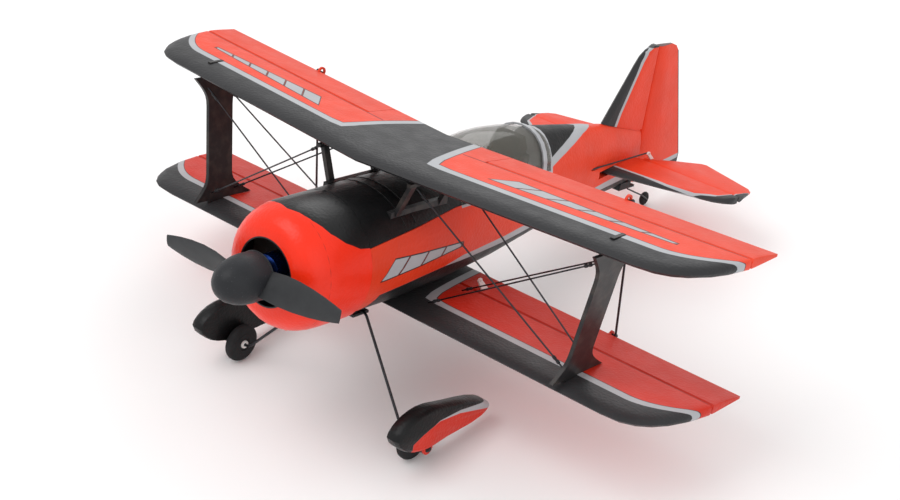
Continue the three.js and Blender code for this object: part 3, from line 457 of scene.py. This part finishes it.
# the lower wing's orange is darkened as painted shade
low_wing_paint = wing_paint("low_wing_paint", SHADED_LOW_ORANGE, LOW_WING)
body = body_paint()
cowl = cowl_paint()
fin = fin_paint()
tailplane = tailplane_paint()
hood_black = black_foam("hood_black")
spinner_black = black_foam("spinner_black", (0.020, 0.021, 0.024), (0.42, 0.52), 0.05)
black_plastic = plastic("black_plastic", (0.020, 0.020, 0.022))
prop_plastic = plastic("prop_plastic", (0.030, 0.031, 0.033), (0.38, 0.48), 0.02)
wire = drawn_metal("wire_steel", (0.055, 0.055, 0.06), (0.3, 0.42))
steel = drawn_metal("bright_steel", (0.55, 0.55, 0.57), (0.2, 0.32))
struts = strut_paint()
silver = plastic("silver_trim", (0.42, 0.43, 0.45), (0.28, 0.36), 0.008, metal=0.4)
white = plastic("white_plastic", (0.78, 0.78, 0.76), (0.35, 0.45))
pants = pant_paint()
canopy = glass()
tyre = tyre_paint()
motor_blue = plastic("motor_blue", (0.006, 0.02, 0.10), (0.22, 0.3), 0.006, metal=0.9)
motor_metal = drawn_metal("motor_metal", (0.5, 0.5, 0.52), (0.25, 0.4))
circuit = board()
battery = wrap("battery_wrap", (0.03, 0.06, 0.22), (0.55, 0.56, 0.58))
liner = black_foam("liner_foam", (0.014, 0.014, 0.015), (0.5, 0.6))

FINISHES = {
    "top_wing": top_wing_paint,
    "lower_wing": low_wing_paint,
    "aileron_top": top_wing_paint,
    "aileron_lower": low_wing_paint,
    "fuselage": body,
    "belly_hatch": body,
    "cowl": cowl,
    "hood": hood_black,
    "canopy": canopy,
    "canopy_bow": silver,
    "seat": liner,
    "instrument_panel": black_plastic,
    "fin": fin,
    "rudder": fin,
    "stabilizer": tailplane,
    "elevator": tailplane,
    "elevator_joiner": wire,
    "elevator_horn": white,
    "rudder_horn": white,
    "aileron_horn": white,
    "elevator_pushrod": wire,
    "rudder_pushrod": wire,
    "interplane_strut": struts,
    "cabane": struts,
    "flying_wire": wire,
    "landing_wire": wire,
    "link_rod": wire,
    "spinner": spinner_black,
    "propeller": prop_plastic,
    "motor_shaft": steel,
    "motor_bell": motor_blue,
    "motor_base": motor_metal,
    "firewall": plastic("firewall_ply", (0.05, 0.045, 0.04), (0.6, 0.7), 0.03),
    "battery": battery,
    "receiver": circuit,
    "aileron_servo": black_plastic,
    "landing_gear": wire,
    "gear_plate": black_plastic,
    "tyre": tyre,
    "hub": white,
    "wheel_pant": pants,
    "tail_bracket": black_plastic,
    "tail_wire": wire,
    "tail_tyre": tyre,
}


def set_material(obj, material):
    obj.data.materials.clear()
    obj.data.materials.append(material)


for name, node in NODES.items():
    key = max((k for k in FINISHES if name == k or name.startswith(k + "_")), key=len)
    set_material(node, FINISHES[key])

# ---- smooth shading on the CAD nodes: a modifier, so their meshes stay as they are ----
SHARP = math.radians(34)  # edges over this stay sharp
WELD = 2e-6  # metres


def smoother():
    tree = bpy.data.node_groups.new("smooth_by_angle", "GeometryNodeTree")
    tree.interface.new_socket("Geometry", in_out="INPUT", socket_type="NodeSocketGeometry")
    tree.interface.new_socket("Geometry", in_out="OUTPUT", socket_type="NodeSocketGeometry")
    new, link = tree.nodes.new, tree.links.new
    start, end = new("NodeGroupInput"), new("NodeGroupOutput")
    weld = new("GeometryNodeMergeByDistance")
    weld.inputs["Distance"].default_value = WELD
    faces = new("GeometryNodeSetShadeSmooth")
    faces.domain = "FACE"
    edges = new("GeometryNodeSetShadeSmooth")
    edges.domain = "EDGE"
    edges.inputs["Shade Smooth"].default_value = False
    angle = new("GeometryNodeInputMeshEdgeAngle")
    sharp = new("FunctionNodeCompare")
    sharp.operation = "GREATER_THAN"
    sharp.inputs[1].default_value = SHARP
    link(start.outputs[0], weld.inputs["Geometry"])
    link(weld.outputs[0], faces.inputs["Geometry"])
    link(faces.outputs[0], edges.inputs["Geometry"])
    link(angle.outputs["Unsigned Angle"], sharp.inputs[0])
    link(sharp.outputs[0], edges.inputs["Selection"])
    link(edges.outputs[0], end.inputs[0])
    return tree


SMOOTHER = smoother()
for node in NODES.values():
    node.modifiers.new("smooth", "NODES").node_group = SMOOTHER

# ---- stage: floor and soft light ----
FLOOR_HALF = 3.0
FLOOR_GAP = 0.0002  # keeps the floor clear of the tyres
LIT_FROM = (  # name, place from the model, size in metres, watts
    ("key", (-0.35, -0.75, 1.3), 0.9, 8),
    ("fill", (1.3, -0.5, 0.7), 1.2, 2.5),
    ("rim", (-0.6, 1.2, 0.9), 0.9, 4),
)


def stage():
    """A pale floor, a pale sky and three soft lamps."""
    bm = bmesh.new()
    bmesh.ops.create_grid(bm, x_segments=2, y_segments=2, size=FLOOR_HALF)
    mesh = bpy.data.meshes.new("floor")
    bm.to_mesh(mesh)
    bm.free()
    floor = bpy.data.objects.new("floor", mesh)
    bpy.context.collection.objects.link(floor)
    floor.location.z = -FLOOR_GAP
    p = Paint("floor")
    colour = p.shade((0.93, 0.93, 0.93), 0.01, 300)
    set_material(floor, p.finish(colour, (0.75, 0.85)))
    world = bpy.data.worlds.new("studio")
    world.use_nodes = True
    background = world.node_tree.nodes["Background"]
    background.inputs["Color"].default_value = (1.0, 1.0, 1.0, 1)
    background.inputs["Strength"].default_value = 0.86
    bpy.context.scene.world = world
    target = row(0, 180, 0)
    for name, offset, size, watts in LIT_FROM:
        light = bpy.data.lights.new(name, "AREA")
        light.size = size
        light.energy = watts
        lamp = bpy.data.objects.new(name, light)
        bpy.context.collection.objects.link(lamp)
        lamp.location = target + Vector(offset)
        lamp.rotation_euler = (target - lamp.location).to_track_quat("-Z", "Y").to_euler()


stage()


# ---- detail pieces ----
def frame_along(axis):
    """Two directions square to the axis."""
    axis = axis.normalized()
    other = Vector((0, 0, 1)) if abs(axis.z) < 0.9 else Vector((1, 0, 0))
    side = axis.cross(other).normalized()
    return side, axis.cross(side)


def lathe(bm, start, axis, profile, segments=24):
    """A turned solid; a profile that ends off the axis is closed with a flat face.

    The profile is (distance along the axis, radius) in millimetres, and start is in metres.
    """
    axis = axis.normalized()
    u, v = frame_along(axis)
    rings = []
    for along, radius in profile:
        centre = start + axis * (along / 1000)
        if radius <= 0:
            rings.append([bm.verts.new(centre)])
            continue
        rings.append(
            [
                bm.verts.new(centre + (u * math.cos(a) + v * math.sin(a)) * (radius / 1000))
                for a in (2 * math.pi * i / segments for i in range(segments))
            ]
        )
    for a, b in zip(rings, rings[1:]):
        for i in range(segments):
            j = (i + 1) % segments
            corners = [a[i % len(a)], a[j % len(a)], b[j % len(b)], b[i % len(b)]]
            corners = list(dict.fromkeys(corners))
            if len(corners) > 2:
                bm.faces.new(corners)
    for end in (rings[0], rings[-1]):
        if len(end) > 1:
            bm.faces.new(end)


def tube(bm, path, radius, segments=8):
    """A round bead along a path of points in metres; the radius is in millimetres."""
    rings = []
    for i, p in enumerate(path):
        ahead = path[min(i + 1, len(path) - 1)] - path[max(i - 1, 0)]
        if i == 0:
            u, v = frame_along(ahead)
        else:
            n = ahead.normalized()
            u = (u - n * u.dot(n)).normalized()
            v = n.cross(u)
        rings.append(
            [
                bm.verts.new(p + (u * math.cos(a) + v * math.sin(a)) * (radius / 1000))
                for a in (2 * math.pi * k / segments for k in range(segments))
            ]
        )
    for a, b in zip(rings, rings[1:]):
        for i in range(segments):
            j = (i + 1) % segments
            bm.faces.new((a[i], a[j], b[j], b[i]))
    bm.faces.new(rings[0])
    bm.faces.new(rings[-1])


def piece(name, bm, body_name, slot, material):
    """Makes the object from its mesh, and says what it rides on and its finish."""
    bmesh.ops.recalc_face_normals(bm, faces=bm.faces)
    mesh = bpy.data.meshes.new(name)
    bm.to_mesh(mesh)
    bm.free()
    obj = bpy.data.objects.new(name, mesh)
    bpy.context.collection.objects.link(obj)
    set_material(obj, material)
    obj.modifiers.new("smooth", "NODES").node_group = SMOOTHER
    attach(obj, body_name)
    return obj


END_REACH = 0.0014  # how near the tip the points of a rod's end face are, in metres


def ends(name):
    """The middles of a thin rod's two ends, in the row frame."""
    points = [v.co.copy() for v in NODES[name].data.vertices]
    first = max(points, key=lambda p: (p - points[0]).length)
    last = max(points, key=lambda p: (p - first).length)

    def middle(tip):
        near = [p for p in points if (p - tip).length < END_REACH]
        return sum(near, Vector()) / len(near)

    return middle(first), middle(last)


FERRULE = ((0, 0.5), (0.3, 0.85), (1.6, 0.9), (1.9, 0.72), (2.9, 0.72), (3.2, 0.9), (4.6, 0.85), (5, 0.5))
FERRULE_INSET = 0.004  # from the wire's end, in metres


def ferrules():
    """Crimped sleeves near both ends of every rigging wire."""
    bm = bmesh.new()
    for name in sorted(NODES):
        if not name.startswith(("flying_wire", "landing_wire")):
            continue
        a, b = ends(name)
        for tip, other in ((a, b), (b, a)):
            along = (other - tip).normalized()
            lathe(bm, tip + along * FERRULE_INSET, along, FERRULE, 16)
    piece("wire_ferrules", bm, "airframe", "black_plastic", black_plastic)


RIB_REACH = 66  # degrees from the top, to each side
RIB_STEPS = 48
RIB_CENTRE_Z = 8
RIB_RADIUS = 0.42
RIB_SINK = 0.12
RIBS = ((97, 5), (104.5, 6))  # level y at the top, and how far the sides lean back
RAY = 90


def hood_ribs():
    """The moulded ribs over the hood, laid on its skin by rays."""
    hood = NODES["hood"].data
    points = [v.co.copy() for v in hood.vertices]
    surface = BVHTree.FromPolygons(points, [list(f.vertices) for f in hood.polygons])
    bm = bmesh.new()
    for y, lean in RIBS:
        path = []
        for i in range(RIB_STEPS + 1):
            a = math.radians(-RIB_REACH + 2 * RIB_REACH * i / RIB_STEPS)
            out = Vector((math.sin(a), 0, math.cos(a)))
            at = y + lean * (1 - math.cos(a))
            far = row(out.x * RAY, at, RIB_CENTRE_Z + out.z * RAY)
            inwards = (row(0, at, RIB_CENTRE_Z) - far).normalized()
            hit = surface.ray_cast(far, inwards, RAY / 1000)[0]
            if hit is not None:
                path.append(hit + inwards * (RIB_SINK / 1000))
        tube(bm, path, RIB_RADIUS)
    piece("hood_ribs", bm, "airframe", "hood_black", hood_black)


SPINNER_REAR = 25.2
BACK_PLATE = ((0, 10.6), (0, 12.2), (0.4, 12.45), (0.9, 12.2), (0.9, 10.6))


def back_plate():
    """The disc behind the spinner."""
    bm = bmesh.new()
    lathe(bm, row(0, SPINNER_REAR, 0), AXIS_Y, BACK_PLATE, 64)
    piece("spinner_plate", bm, "prop_unit", "black_plastic", black_plastic)


WHEEL_X, AXLE_Y, AXLE_Z = 63.2, 86.5, -81.5  # centre of the port wheel
AXLE_END = 73.6
WASHER = ((0, 2.0), (0.5, 2.0), (0.7, 1.7), (0.7, 0))
NUT_FROM = 74.2
NUT = ((0, 1.35), (0.8, 1.35), (1.0, 1.1), (1.0, 0))


def axle_caps():
    """A washer and a six-sided nut on the end of each axle."""
    bm = bmesh.new()
    for side in (-1, 1):
        out = Vector((side, 0, 0))
        lathe(bm, row(side * AXLE_END, AXLE_Y, AXLE_Z), out, WASHER, 20)
        lathe(bm, row(side * NUT_FROM, AXLE_Y, AXLE_Z), out, NUT, 6)
    piece("axle_caps", bm, "airframe", "black_plastic", black_plastic)


TYRE_RADIUS, TYRE_HALF, TYRE_BORE = 10.6, 2.7, 3.7
SHOULDER = TYRE_BORE + 2.6  # where the side wall starts to round over
TYRE_STEPS = 24
MOULD_LINE = 0.12  # depth of the moulding line


def tyre_profile():
    """Flat side walls that lap over the hub, a round tread, and a moulding line."""
    wall = ((0.3, 0), (-0.2, 0.3), (-0.25, 2.4))  # (in from the side, out from the bore)
    profile = [(-TYRE_HALF + inset, TYRE_BORE + out) for inset, out in wall]
    for i in range(TYRE_STEPS + 1):
        a = math.pi * i / TYRE_STEPS
        line = MOULD_LINE if i == TYRE_STEPS // 2 else 0.0
        side = -TYRE_HALF * math.copysign(abs(math.cos(a)) ** 0.7, math.cos(a))
        reach = SHOULDER + (TYRE_RADIUS - SHOULDER - line) * math.sin(a) ** 0.62
        profile.append((side, reach))
    return profile + [(TYRE_HALF - inset, TYRE_BORE + out) for inset, out in reversed(wall)]


def tyres():
    """Foam tyres, finer than the CAD's, that lap over the hubs."""
    for side, name in ((1, "left"), (-1, "right")):
        bm = bmesh.new()
        lathe(bm, row(side * WHEEL_X, AXLE_Y, AXLE_Z), AXIS_X, tyre_profile(), 72)
        made = piece(f"foam_tyre_{name}", bm, f"wheel_{name}", "tyre_foam", tyre)
        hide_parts(f"tyre_{name}")


LUG_AT = (0, 51.5, -32.2)
LUG = ((-1, 2.8), (2.0, 2.7), (3.4, 2.1), (4.3, 1.0), (4.6, 0))


def cowl_lug():
    """The small moulded nub under the cowl."""
    bm = bmesh.new()
    lathe(bm, row(*LUG_AT), -AXIS_Z, LUG, 32)
    piece("cowl_lug", bm, "airframe", "foam_body", cowl)


tyres()
cowl_lug()
ferrules()
hood_ribs()
back_plate()
axle_caps()
